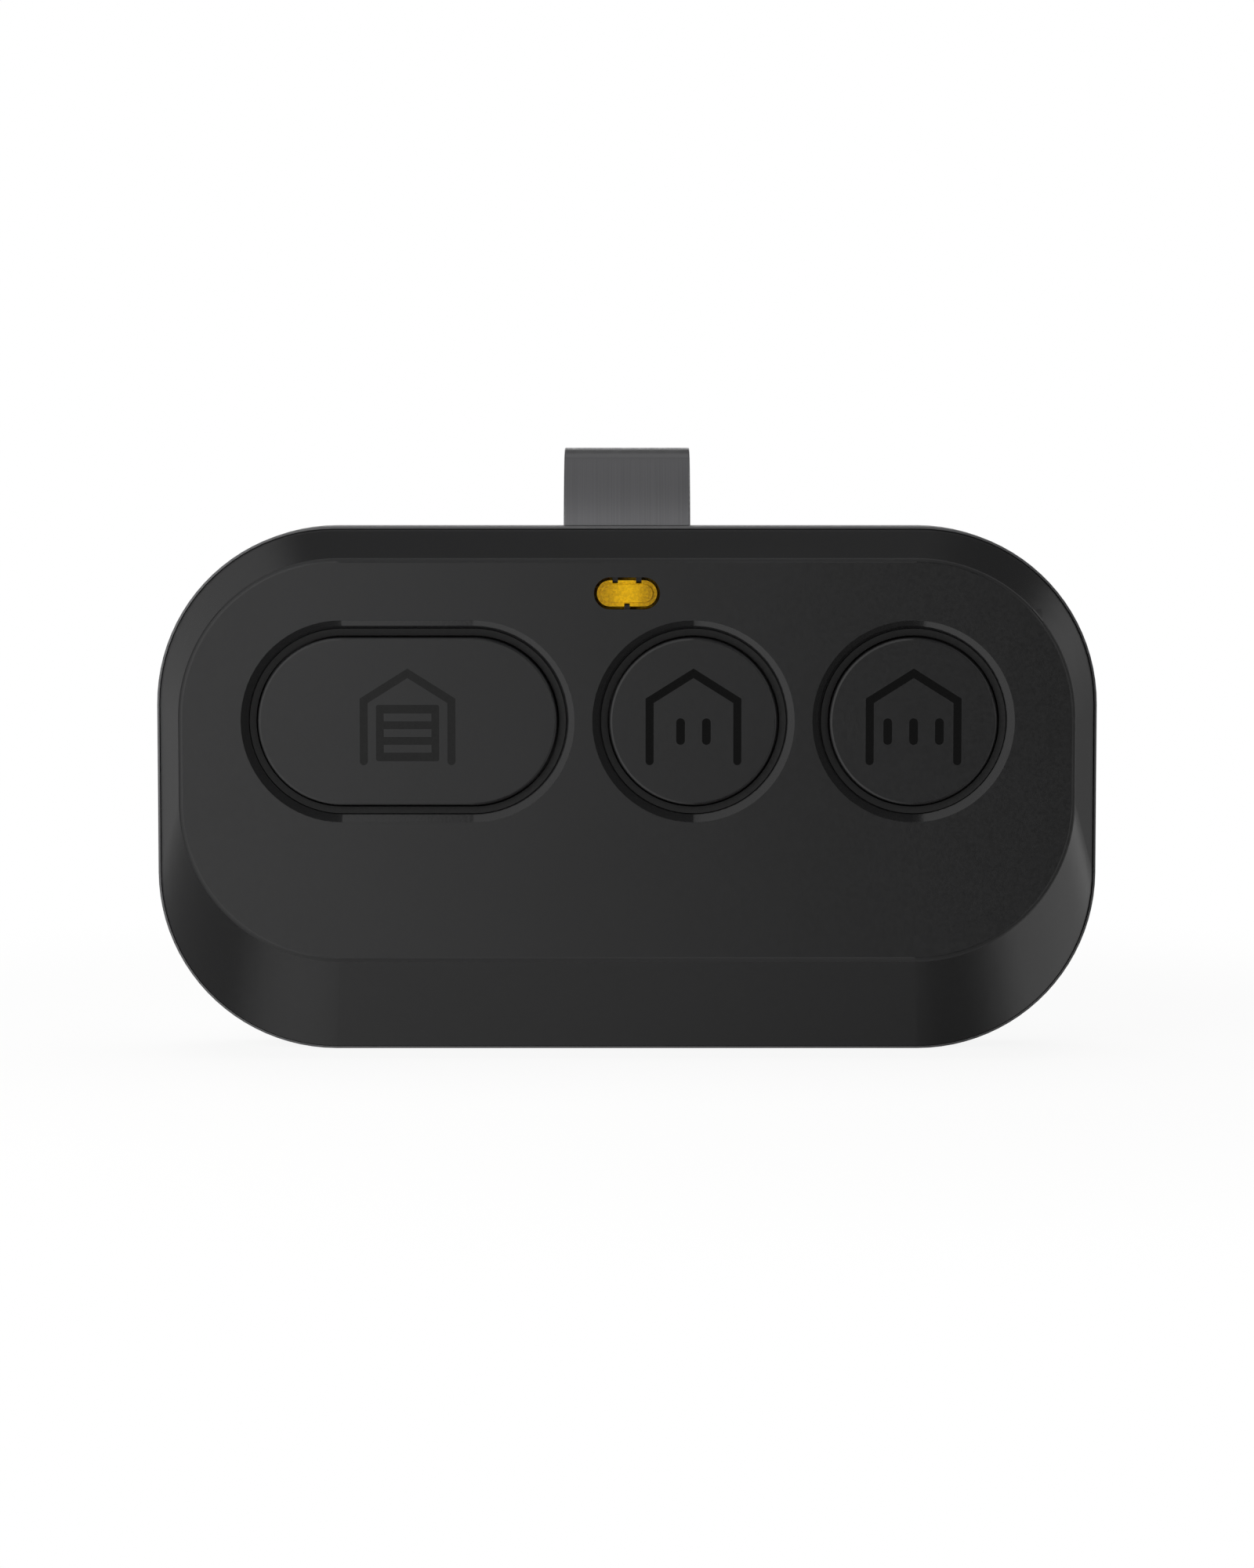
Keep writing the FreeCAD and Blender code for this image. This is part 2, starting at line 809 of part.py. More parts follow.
def switch_cover(x):
    """The steel plate that closes a press switch, with a round hole for the plunger."""
    cover = switch_square(x, switch_front_y, switch_front_y + switch_cover_thickness)
    return cover.cut(disc(
        x, button_row_z, plunger_radius + plunger_gap,
        switch_front_y, switch_front_y + switch_cover_thickness,
    ))


def switch_plunger(x):
    """The plunger between a cap and its switch, with a foot under the steel plate."""
    foot_front_y = switch_front_y + switch_cover_thickness + cap_rest_gap
    foot_back_y = foot_front_y + plunger_foot_thickness
    stem = disc(x, button_row_z, plunger_radius, flange_back_y, foot_back_y)
    foot = disc(x, button_row_z, plunger_foot_radius, foot_front_y, foot_back_y)
    return stem.fuse(foot).removeSplitter()


def chip(x, z, size, lead_count):
    """A chip on the back of the board, with a row of bent leads on each side."""
    half_x, half_z = size[0] / 2, size[1] / 2
    low_y = board_back_y + chip_standoff
    body = block(x - half_x, x + half_x, low_y, low_y + chip_thickness, z - half_z, z + half_z)
    leads = []
    for side in (-1, 1):
        for index in range(lead_count):
            middle = z + (index - (lead_count - 1) / 2) * chip_lead_pitch
            z_low, z_high = middle - chip_lead_width / 2, middle + chip_lead_width / 2
            knee = x + side * (half_x + chip_lead_reach / 2)
            tip = x + side * (half_x + chip_lead_reach)
            shoulder_y = low_y + chip_thickness / 2
            thick = chip_lead_thickness
            edge = x + side * half_x
            leads.append(block(
                min(edge, knee), max(edge, knee), shoulder_y, shoulder_y + thick, z_low, z_high
            ))
            leads.append(block(
                min(knee, knee - side * thick), max(knee, knee - side * thick),
                board_back_y, shoulder_y + thick, z_low, z_high,
            ))
            leads.append(block(
                min(knee, tip), max(knee, tip), board_back_y, board_back_y + thick, z_low, z_high
            ))
    return body.fuse(leads).removeSplitter()


def radio_chip():
    x = board_left_x + middle_column_from_edge
    z = board_bottom_margin + radio_chip_rise
    return chip(x, z, radio_chip_size, radio_chip_lead_count)


def microcontroller():
    return chip(board_left_x + controller_from_edge, cover_z, controller_size, controller_lead_count)


def crystal():
    """A metal can with round ends on a low flange."""
    x = board_left_x + middle_column_from_edge
    z = body_height - board_top_margin - crystal_width
    flange = pill(
        x, z, crystal_length, crystal_width, board_back_y, board_back_y + crystal_flange
    )
    can = pill(
        x, z, crystal_length - 2 * crystal_flange, crystal_width - 2 * crystal_flange,
        board_back_y, board_back_y + crystal_height,
    )
    can = can.makeFillet(crystal_flange, edges_at(can, board_back_y + crystal_height))
    return flange.fuse(can).removeSplitter()


def loop_antenna():
    """A stout wire loop that stands on the board, with its two feet soldered down."""
    left = board_left_x + board_corner_radius
    right = left + antenna_length
    z = board_bottom_margin + antenna_rise
    low, high = board_back_y, board_back_y + antenna_height
    bend = antenna_bend_radius
    shift = bend * (1 - math.sqrt(0.5))
    path = Part.Wire([
        Part.LineSegment(Vector(left, low, z), Vector(left, high - bend, z)).toShape(),
        Part.Arc(
            Vector(left, high - bend, z), Vector(left + shift, high - shift, z),
            Vector(left + bend, high, z),
        ).toShape(),
        Part.LineSegment(Vector(left + bend, high, z), Vector(right - bend, high, z)).toShape(),
        Part.Arc(
            Vector(right - bend, high, z), Vector(right - shift, high - shift, z),
            Vector(right, high - bend, z),
        ).toShape(),
        Part.LineSegment(Vector(right, high - bend, z), Vector(right, low, z)).toShape(),
    ])
    circle = Part.Circle(Vector(left, low, z), Vector(0, 1, 0), antenna_wire_radius)
    return path.makePipeShell([Part.Wire(circle.toShape())], True, False)


def small_parts(column_x):
    """A column of small two-ended parts on the back of the board."""
    length, width = small_part_size
    first_z = board_bottom_margin + small_parts_rise
    return Part.makeCompound([
        block(
            column_x, column_x + length, board_back_y, board_back_y + small_part_height,
            first_z + index * small_part_pitch, first_z + index * small_part_pitch + width,
        )
        for index in range(small_part_count)
    ])


def capacitors():
    return small_parts(board_left_x + capacitors_from_edge)


def resistors():
    return small_parts(board_left_x + resistors_from_edge)


# Battery

def battery_holder():
    """A round tray on the back of the board, open at one side for the side contact."""
    outer = cell_radius + cell_gap + holder_wall
    tray = disc(cover_x, cover_z, outer, board_back_y, board_back_y + holder_height)
    tray = tray.cut(disc(
        cover_x, cover_z, cell_radius + cell_gap, holder_floor_y, board_back_y + holder_height
    ))
    half = contact_window / 2
    window = block(
        cover_x - outer, cover_x - cell_step_radius, board_back_y, board_back_y + holder_height,
        cover_z - half, cover_z + half,
    )
    tail = block(
        cover_x + press_ring_radius - contact_gap,
        cover_x + press_ring_radius + contact_thickness + contact_gap,
        board_back_y, holder_floor_y,
        cover_z - contact_width / 2 - contact_gap, cover_z + contact_width / 2 + contact_gap,
    )
    return tray.cut([window, tail]).removeSplitter()


def positive_contact():
    """A leaf that leans on the side of the cell, with a foot soldered to the board."""
    inner = cover_x - cell_radius - contact_gap
    half = contact_width / 2
    leaf = block(
        inner - contact_thickness, inner, board_back_y, board_back_y + holder_height - contact_gap,
        cover_z - half, cover_z + half,
    )
    foot = block(
        inner - contact_foot, inner, board_back_y, board_back_y + contact_thickness,
        cover_z - half, cover_z + half,
    )
    return leaf.fuse(foot).removeSplitter()


def negative_contact():
    """A tongue that rises from the floor of the tray to the cell, with a tail down to the board."""
    reach = press_ring_radius
    half = contact_width / 2
    thick = contact_thickness
    touch = cell_front_y - contact_gap
    side = [
        (reach, holder_floor_y), (0, touch - thick), (-reach / 3, touch - thick),
        (-reach / 3, touch), (0, touch), (reach, holder_floor_y + thick), (reach, holder_floor_y),
    ]
    tongue = Part.Face(Part.makePolygon([
        Vector(cover_x + across, depth, cover_z - half) for across, depth in side
    ])).extrude(Vector(0, 0, contact_width))
    tail = block(
        cover_x + reach, cover_x + reach + thick, board_back_y, holder_floor_y + thick,
        cover_z - half, cover_z + half,
    )
    return tongue.fuse(tail).removeSplitter()


def coin_cell():
    """A coin cell with its smaller pole to the front and its can to the back."""
    can_front_y = cell_front_y + cell_step_height
    can = disc(cover_x, cover_z, cell_radius, can_front_y, cell_back_y)
    can = can.makeFillet(cell_step_height, edges_at(can, cell_back_y) + edges_at(can, can_front_y))
    pole = disc(cover_x, cover_z, cell_step_radius, cell_front_y, can_front_y)
    return can.fuse(pole).removeSplitter()


# Visor clip

def clip_side(offset):
    """One side of the bent strip, seen from its edge: the leg, the loop, the arm and the flare."""
    middle_y = strap_front_y + strap_thickness / 2
    loop = loop_radius - strap_thickness / 2
    lean = math.radians(clip_lean)
    flare = math.radians(clip_flare_angle)

    def point(y, z):
        return Vector(-strap_width / 2, y, z)

    def on_loop(angle):
        return point(
            middle_y + loop + (loop + offset) * math.cos(angle),
            loop_centre_z + (loop + offset) * math.sin(angle),
        )

    def outward(angle):
        return Vector(0, math.cos(angle), -math.sin(angle))

    def along(angle):
        return Vector(0, -math.sin(angle), -math.cos(angle))

    foot = point(middle_y - offset, channel_bottom_z + channel_side_gap)
    leg_top = point(middle_y - offset, loop_centre_z)
    arm_top = on_loop(-lean)
    arm_bottom = arm_top + along(lean) * clip_arm_length
    hub = arm_bottom + outward(lean) * (clip_flare_radius - offset)

    def on_flare(angle):
        return hub - outward(angle) * (clip_flare_radius - offset)

    flare_end = on_flare(-flare)
    tip = flare_end + along(-flare) * clip_end_length
    return [
        Part.LineSegment(foot, leg_top).toShape(),
        Part.Arc(leg_top, on_loop((math.pi - lean) / 2), arm_top).toShape(),
        Part.LineSegment(arm_top, arm_bottom).toShape(),
        Part.Arc(arm_bottom, on_flare((lean - flare) / 2), flare_end).toShape(),
        Part.LineSegment(flare_end, tip).toShape(),
    ]


def visor_clip():
    """The strip bent to shape, with the corners of its ends and all its long edges rounded."""
    front = clip_side(strap_thickness / 2)
    back = clip_side(-strap_thickness / 2)
    ends = [
        Part.LineSegment(front[-1].Vertexes[-1].Point, back[-1].Vertexes[-1].Point).toShape(),
        Part.LineSegment(front[0].Vertexes[0].Point, back[0].Vertexes[0].Point).toShape(),
    ]
    outline = Part.Wire(Part.__sortEdges__(front + back + ends))
    strip = Part.Face(outline).extrude(Vector(strap_width, 0, 0))
    corners = [
        e for e in strip.Edges
        if abs(e.Length - strap_thickness) < 1e-4 and abs(e.Vertexes[0].X - e.Vertexes[1].X) < 1e-4
    ]
    strip = strip.makeFillet(strap_corner_radius, corners)
    long_edges = [e for e in strip.Edges if e.Length > 2 * strap_width]
    return strip.makeFillet(strap_edge_rounding, long_edges)


# Every sub-part under the name of its file

def all_parts():
    shapes = {
        "front_housing": front_housing(),
        "rear_housing": rear_housing(),
        "button_guide": button_guide(),
        "light_pipe": light_pipe(),
        "circuit_board": circuit_board(),
        "status_light": status_light(),
        "microcontroller": microcontroller(),
        "radio_chip": radio_chip(),
        "crystal": crystal(),
        "loop_antenna": loop_antenna(),
        "capacitors": capacitors(),
        "resistors": resistors(),
        "battery_holder": battery_holder(),
        "positive_contact": positive_contact(),
        "negative_contact": negative_contact(),
        "coin_cell": coin_cell(),
        "battery_cover": battery_cover(),
        "cover_seal": cover_seal(),
        "visor_clip": visor_clip(),
        "housing_screws": Part.makeCompound([
            screw(x, z, counterbore_seat_y(), screw_radius, screw_length,
                  screw_head_radius, screw_head_height)
            for x, z in bosses
        ]),
        "board_screws": Part.makeCompound([
            screw(x, z, board_back_y, board_screw_radius, board_screw_length,
                  board_screw_head_radius, board_screw_head_height)
            for x, z in posts
        ]),
    }
    for name, (x, _) in buttons.items():
        shapes[name + "_button_cap"] = button_cap(name)
        shapes[name + "_button_icon"] = button_icon(name)
        shapes[name + "_switch_base"] = switch_base(x)
        shapes[name + "_switch_cover"] = switch_cover(x)
        shapes[name + "_switch_plunger"] = switch_plunger(x)
    return shapes


os.makedirs("parts", exist_ok=True)
for name, shape in all_parts().items():
    shape.exportStep("parts/" + name + ".step")
    print(name, len(shape.Solids), round(shape.Volume, 2))
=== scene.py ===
import math

import bmesh
import bpy
from mathutils import Matrix, Vector


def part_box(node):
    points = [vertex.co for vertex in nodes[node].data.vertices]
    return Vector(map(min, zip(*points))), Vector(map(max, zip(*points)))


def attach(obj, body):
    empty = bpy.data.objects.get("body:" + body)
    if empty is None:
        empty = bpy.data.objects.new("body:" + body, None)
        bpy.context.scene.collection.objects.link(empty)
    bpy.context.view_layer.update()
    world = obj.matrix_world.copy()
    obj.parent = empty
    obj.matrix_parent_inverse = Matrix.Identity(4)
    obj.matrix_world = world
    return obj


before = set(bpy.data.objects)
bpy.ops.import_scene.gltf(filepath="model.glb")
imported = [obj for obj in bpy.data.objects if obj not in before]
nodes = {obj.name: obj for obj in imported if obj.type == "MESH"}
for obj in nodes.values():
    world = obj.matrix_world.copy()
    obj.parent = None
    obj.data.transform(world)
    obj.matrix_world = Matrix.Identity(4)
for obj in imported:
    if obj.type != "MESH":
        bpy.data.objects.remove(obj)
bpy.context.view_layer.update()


# Front housing. Injection moulded ABS, black all through, from a tool with a fine spark texture,
# which is drawn coarser than real so that it shows. The sloped sides come out of the tool smoother
# and the chamfer round each button is polished, but handling keeps the face's rounded edge dull.

def linear(code):
    """An sRGB hex colour as linear RGBA."""
    channels = [int(code[i:i + 2], 16) / 255 for i in (1, 3, 5)]
    return [c / 12.92 if c <= 0.04045 else ((c + 0.055) / 1.055) ** 2.4 for c in channels] + [1.0]


def add(tree, kind, inputs=None, **settings):
    """Adds a node with its settings, and gives its inputs values or the sockets that feed them."""
    made = tree.nodes.new("ShaderNode" + kind)
    for name, value in settings.items():
        setattr(made, name, value)
    for name, value in (inputs or {}).items():
        if isinstance(value, bpy.types.NodeSocket):
            tree.links.new(value, made.inputs[name])
        else:
            made.inputs[name].default_value = value
    return made


def new_material(name):
    """An empty node material, its tree and the Object coordinates that its patterns read."""
    material = bpy.data.materials.new(name)
    material.use_nodes = True
    material.node_tree.nodes.clear()
    place = add(material.node_tree, "TexCoord").outputs["Object"]
    return material, material.node_tree, place


def finish(tree, **inputs):
    """Closes a material with a Principled shader that has these inputs."""
    named = {name.replace("_", " "): value for name, value in inputs.items()}
    shader = add(tree, "BsdfPrincipled", named)
    add(tree, "OutputMaterial", {"Surface": shader.outputs[0]})


def dress(material, *names):
    """Gives CAD nodes their material."""
    for name in names:
        for slot in nodes[name].material_slots:
            slot.material = material


def moulded(name, dark, pale, grain_size, smoothest, roughest, height, **more):
    """A moulded plastic: two close tones in slow clouds, and the relief of its tool, whose grain
    is drawn as coarse as it needs to show."""
    material, tree, place = new_material(name)
    cloud = add(tree, "TexNoise", {"Vector": place, "Scale": 1 / flow_cloud, "Detail": 2.0})
    tone = add(tree, "Mix", {
        "Factor": cloud.outputs["Fac"], "A": linear(dark), "B": linear(pale),
    }, data_type="RGBA")
    grain = add(tree, "TexNoise", {
        "Vector": place, "Scale": 1 / grain_size, "Detail": 1.0, "Roughness": 0.5,
    })
    sheen = add(tree, "MapRange", {
        "Value": grain.outputs["Fac"], "From Min": 0.3, "From Max": 0.7,
        "To Min": smoothest, "To Max": roughest,
    })
    relief = add(tree, "Bump", {
        "Height": grain.outputs["Fac"], "Strength": 0.3, "Distance": height,
    })
    return material, tree, place, {
        "Base_Color": tone.outputs["Result"], "Roughness": sheen.outputs["Result"],
        "Normal": relief.outputs["Normal"], **more,
    }


MM = 0.001
flow_cloud = 14 * MM
spark_grain = 0.25 * MM
spark_height = 0.006 * MM
just_sunk = 0.02 * MM
edge_reach = 0.25 * MM
edge_roughness = 0.5
slope_roughness = 0.2
chamfer_roughness = 0.1
chamfer_room = 1.5 * MM
slope_start_x = 36 * MM
face_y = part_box("front_housing")[0].y
cap_low, cap_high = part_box("middle_button_cap")
row_z = (cap_low.z + cap_high.z) / 2
row_reach = (cap_high.z - cap_low.z) / 2 + chamfer_room

textured_abs, tree, place, look = moulded(
    "black_abs_spark_textured", dark="#111111", pale="#161617", grain_size=spark_grain,
    smoothest=0.28, roughest=0.34, height=spark_height,
)
spot = add(tree, "SeparateXYZ", {"Vector": place})
sunk = add(tree, "Math", {0: spot.outputs["Y"], 1: face_y + just_sunk}, operation="GREATER_THAN")
edge = add(tree, "Math", {0: spot.outputs["Y"], 1: face_y + edge_reach}, operation="LESS_THAN")
row = add(tree, "Math", {0: spot.outputs["Z"], 1: row_z, 2: row_reach}, operation="COMPARE")
face = add(tree, "Math", {0: spot.outputs["X"], 1: 0.0, 2: slope_start_x}, operation="COMPARE")
chamfer = add(tree, "Math", {0: row.outputs[0], 1: face.outputs[0]}, operation="MULTIPLY")
side = add(tree, "Mix", {"Factor": edge.outputs[0], "A": slope_roughness, "B": edge_roughness})
smoother = add(tree, "Mix", {
    "Factor": chamfer.outputs[0], "A": side.outputs["Result"], "B": chamfer_roughness,
})
look["Roughness"] = add(tree, "Mix", {
    "Factor": sunk.outputs[0], "A": look["Roughness"], "B": smoother.outputs["Result"],
}).outputs["Result"]
finish(tree, **look)
dress(textured_abs, "front_housing")


# Guide plate. One moulding of black acetal behind the front wall, which carries the three caps.
# Its collars fill the openings of the front as a sunk ledge, duller and deeper black than the face.

guide_acetal, tree, _, look = moulded(
    "black_acetal_moulded", dark="#0d0d0d", pale="#111111", grain_size=0.4 * MM,
    smoothest=0.56, roughest=0.64, height=0.004 * MM, Specular_IOR_Level=0.34,
)
finish(tree, **look)
dress(guide_acetal, "button_guide")


# Button caps. Moulded in the same textured ABS as the housing, so they match the face round them.
# They are held behind the guide plate by their flanges, and each one moves with its own button.

cap_abs, tree, _, look = moulded(
    "black_abs_cap", dark="#111111", pale="#161617", grain_size=spark_grain,
    smoothest=0.28, roughest=0.34, height=spark_height,
)
finish(tree, **look)
dress(cap_abs, "long_button_cap", "middle_button_cap", "right_button_cap")


# Pictograms. Pad printed ink that fills the marks moulded in the caps, cured to a dull film.
# The long button's is a dark grey a little deeper than the cap, the round ones' a full black.

ink_grain = 0.2 * MM
ink_height = 0.01 * MM

grey_ink, tree, _, look = moulded(
    "dark_grey_pad_ink", dark="#121212", pale="#171717", grain_size=ink_grain,
    smoothest=0.55, roughest=0.65, height=ink_height, Specular_IOR_Level=0.25,
)
finish(tree, **look)
dress(grey_ink, "long_button_icon")

black_ink, tree, _, look = moulded(
    "black_pad_ink", dark="#050505", pale="#080808", grain_size=ink_grain,
    smoothest=0.55, roughest=0.65, height=ink_height, Specular_IOR_Level=0.1,
)
finish(tree, **look)
dress(black_ink, "middle_button_icon", "right_button_icon")


# Status lens. Amber polycarbonate with a frost grain that spreads the light behind it, pushed
# into its opening from behind. The grain is drawn coarser than real so that it shows, and the two
# ends are painted darker, a painted shade where no light runs out.

lens_low, lens_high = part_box("light_pipe")
lens_middle = (lens_low + lens_high) / 2
lit_middle_reach = 2.2 * MM
frost_grain = 0.2 * MM
frost_height = 0.02 * MM
frost_share = 0.4

amber_lens, tree, place = new_material("amber_polycarbonate_frosted")
from_middle = add(tree, "Mapping", {
    "Vector": place, "Location": (-lens_middle.x, 0, -lens_middle.z),
})
spot = add(tree, "SeparateXYZ", {"Vector": from_middle.outputs["Vector"]})
aside = add(tree, "Math", {0: spot.outputs["X"]}, operation="ABSOLUTE")
# Painted shade: the lens darkens from its lit middle toward both ends, where no light runs out.
end_shade = add(tree, "MapRange", {
    "Value": aside.outputs[0], "From Max": lit_middle_reach,
}, interpolation_type="SMOOTHSTEP")
frost = add(tree, "TexNoise", {
    "Vector": place, "Scale": 1 / frost_grain, "Detail": 2.0, "Roughness": 0.7,
})
speckle = add(tree, "MapRange", {
    "Value": frost.outputs["Fac"], "From Min": 0.35, "From Max": 0.65,
})
frost_and_end_shade = add(tree, "Mix", {
    "Factor": frost_share, "A": end_shade.outputs[0], "B": speckle.outputs["Result"],
})
tone = add(tree, "Mix", {
    "Factor": frost_and_end_shade.outputs["Result"], "A": linear("#e0ae0e"), "B": linear("#8c680a"),
}, data_type="RGBA")
relief = add(tree, "Bump", {
    "Height": frost.outputs["Fac"], "Strength": 0.5, "Distance": frost_height,
})
finish(
    tree, Base_Color=tone.outputs["Result"], Roughness=0.45, IOR=1.58, Specular_IOR_Level=0.15,
    Normal=relief.outputs["Normal"], Subsurface_Weight=0.2, Subsurface_Radius=(1.0, 0.5, 0.1),
    Subsurface_Scale=0.5 * MM,
)
dress(amber_lens, "light_pipe")


# Circuit board. Glass epoxy laminate with green solder mask over copper tracks, two screws hold it.
# The tracks lie under the mask and show as paler, slightly raised lines on a 2.5 mm grid.

track_pitch = 2.5 * MM
track_width = 0.35 * MM
track_height = 0.035 * MM
weave_size = 0.6 * MM

board_laminate, tree, place = new_material("green_glass_epoxy_board")
weave = add(tree, "TexNoise", {"Vector": place, "Scale": 1 / weave_size, "Detail": 2.0})
flat = add(tree, "Mapping", {"Vector": place, "Rotation": (math.pi / 2, 0, 0)})
routes = add(tree, "TexBrick", {
    "Vector": flat.outputs["Vector"], "Scale": 1 / track_pitch,
    "Mortar Size": track_width / track_pitch, "Mortar Smooth": 0.1,
    "Brick Width": 3.0, "Row Height": 1.0,
})
tone = add(tree, "Mix", {
    "Factor": routes.outputs["Fac"], "A": linear("#0d4a2b"), "B": linear("#1c7043"),
}, data_type="RGBA")
sheen = add(tree, "MapRange", {"Value": weave.outputs["Fac"], "To Min": 0.25, "To Max": 0.4})
relief = add(tree, "Bump", {
    "Height": routes.outputs["Fac"], "Strength": 0.5, "Distance": track_height,
})
finish(
    tree, Base_Color=tone.outputs["Result"], Roughness=sheen.outputs["Result"],
    Normal=relief.outputs["Normal"],
)
dress(board_laminate, "circuit_board")


# Status lamp. A small flat lamp in clear epoxy with a yellow phosphor, soldered under the lens.
# The phosphor settles in fine specks, so the block looks like grainy wax.

lamp_epoxy, tree, _, look = moulded(
    "phosphor_epoxy", dark="#d8b23a", pale="#e9cf74", grain_size=0.2 * MM,
    smoothest=0.2, roughest=0.3, height=0.01 * MM, IOR=1.52,
)
finish(tree, **look)
dress(lamp_epoxy, "status_light")


# Chips. Black epoxy moulding compound over tinned leads that are bent down to the board.
# The compound is filled with ground silica, which gives it a dull and faintly speckled top.

def tin_ends(tree, place, look, name, reach, tin):
    """Turns a part to bare tin as far as this reaches in from both its ends along X."""
    low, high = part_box(name)
    spot = add(tree, "SeparateXYZ", {"Vector": place})
    body = add(tree, "Math", {
        0: spot.outputs["X"], 1: (low.x + high.x) / 2, 2: (high.x - low.x) / 2 - reach,
    }, operation="COMPARE")
    bare = add(tree, "Math", {0: 1.0, 1: body.outputs[0]}, operation="SUBTRACT")
    tone = add(tree, "Mix", {
        "Factor": body.outputs[0], "A": linear(tin), "B": look["Base_Color"],
    }, data_type="RGBA")
    look["Base_Color"] = tone.outputs["Result"]
    look["Metallic"] = bare.outputs[0]


lead_reach = 0.9 * MM
lead_tin = "#b9b9b4"

for name in ("microcontroller", "radio_chip"):
    chip_epoxy, tree, place, look = moulded(
        "silica_filled_epoxy_" + name, dark="#141414", pale="#1d1d1e", grain_size=0.15 * MM,
        smoothest=0.5, roughest=0.7, height=0.02 * MM,
    )
    tin_ends(tree, place, look, name, lead_reach, lead_tin)
    finish(tree, **look)
    dress(chip_epoxy, name)


# Crystal. The timing crystal's drawn nickel can, welded to its base round a thin flange.
# Drawing leaves it a satin finish with soft cloudy spots, brighter than tin.

def plated(name, dark, pale, grain, smoothest, roughest, height, **more):
    """A metal with a streaked or mottled finish, whose grain is a size along each axis, drawn as
    coarse as it needs to show."""
    material, tree, place = new_material(name)
    stretched = add(tree, "Mapping", {"Vector": place, "Scale": [1 / length for length in grain]})
    streaks = add(tree, "TexNoise", {
        "Vector": stretched.outputs["Vector"], "Scale": 1.0, "Detail": 3.0, "Roughness": 0.65,
    })
    tone = add(tree, "Mix", {
        "Factor": streaks.outputs["Fac"], "A": linear(dark), "B": linear(pale),
    }, data_type="RGBA")
    sheen = add(tree, "MapRange", {
        "Value": streaks.outputs["Fac"], "From Min": 0.3, "From Max": 0.7,
        "To Min": smoothest, "To Max": roughest,
    })
    relief = add(tree, "Bump", {
        "Height": streaks.outputs["Fac"], "Strength": 0.4, "Distance": height,
    })
    finish(
        tree, Base_Color=tone.outputs["Result"], Metallic=1.0, Roughness=sheen.outputs["Result"],
        Normal=relief.outputs["Normal"], **more,
    )
    return material


drawn_nickel = plated(
    "drawn_nickel_can", dark="#a9a89f", pale="#c4c3ba", grain=(1.5 * MM, 1.5 * MM, 1.5 * MM),
    smoothest=0.25, roughest=0.35, height=0.005 * MM,
)
dress(drawn_nickel, "crystal")


# Loop antenna. A bridge of tinned copper wire that is bent to shape and soldered at both feet.
# The tin is dipped on, which leaves long soft runs along the wire.

dipped_tin = plated(
    "hot_dipped_tin", dark="#a3a39d", pale="#c9c9c4", grain=(4 * MM, 0.8 * MM, 0.8 * MM),
    smoothest=0.2, roughest=0.4, height=0.01 * MM,
)
dress(dipped_tin, "loop_antenna")


# Small parts. Chip capacitors of fired tan ceramic and chip resistors with a black glazed film.
# Both have bright tinned ends, 0.3 mm deep, that are soldered to the board.

end_cap = 0.3 * MM
end_tin = "#c6c6c1"

for name, finish_name, dark, pale, smoothest, roughest in (
    ("capacitors", "fired_tan_ceramic", "#9c7c55", "#b39468", 0.5, 0.65),
    ("resistors", "black_glazed_film", "#0e0e10", "#1a1a1d", 0.15, 0.25),
):
    ceramic, tree, place, look = moulded(
        finish_name, dark, pale, 0.12 * MM, smoothest, roughest, height=0.01 * MM
    )
    tin_ends(tree, place, look, name, end_cap, end_tin)
    finish(tree, **look)
    dress(ceramic, name)


# Press switches. Each has a moulded nylon base, a stamped tinned steel cover and a white plunger.
# The cover is folded over the base, and the acetal plunger under each cap clicks against a dome.

switch_nylon, tree, _, look = moulded(
    "black_nylon_switch", dark="#151515", pale="#1c1c1c", grain_size=0.3 * MM,
    smoothest=0.4, roughest=0.5, height=0.01 * MM,
)
finish(tree, **look)
plunger_acetal, tree, _, look = moulded(
    "white_acetal_plunger", dark="#dcdad2", pale="#e9e7df", grain_size=0.3 * MM,
    smoothest=0.3, roughest=0.4, height=0.01 * MM,
    Subsurface_Weight=0.1, Subsurface_Scale=0.5 * MM,
)
finish(tree, **look)
stamped_tin = plated(
    "stamped_tinplate", dark="#a5a59f", pale="#bdbdb7", grain=(0.2 * MM, 3 * MM, 3 * MM),
    smoothest=0.3, roughest=0.42, height=0.004 * MM,
)
for button in ("long", "middle", "right"):
    dress(switch_nylon, button + "_switch_base")
    dress(plunger_acetal, button + "_switch_plunger")
    dress(stamped_tin, button + "_switch_cover")


# Battery holder. A ring of glass filled nylon on the board, open at the back for the coin cell.
# The glass fibres show as short pale flecks in its black skin.

holder_nylon, tree, _, look = moulded(
    "glass_filled_nylon", dark="#131313", pale="#202020", grain_size=0.35 * MM,
    smoothest=0.42, roughest=0.6, height=0.02 * MM,
)
finish(tree, **look)
dress(holder_nylon, "battery_holder")


# Battery contacts. Springs stamped from nickel plated bronze strip, rolled before they are plated.
# The rolling lines stay visible through the plating, along the strip.

rolled_bronze = plated(
    "nickel_plated_bronze", dark="#b3ab96", pale="#cfc8b4", grain=(3 * MM, 3 * MM, 0.15 * MM),
    smoothest=0.2, roughest=0.35, height=0.004 * MM,
)
dress(rolled_bronze, "positive_contact", "negative_contact")


# Coin cell. A drawn stainless can, crimped over a gasket, that lies in the holder behind the board.
# Its flat faces are turned, so rings run round the middle, drawn coarser than real so that they
# show.

def off_axis(tree, place, middle):
    """How far a point lies from a round piece's axis, which runs from front to back."""
    centred = add(tree, "Mapping", {
        "Vector": place, "Location": (-middle.x, 0, -middle.z), "Scale": (1, 0, 1),
    })
    reach = add(tree, "VectorMath", {0: centred.outputs["Vector"]}, operation="LENGTH")
    return reach.outputs["Value"]


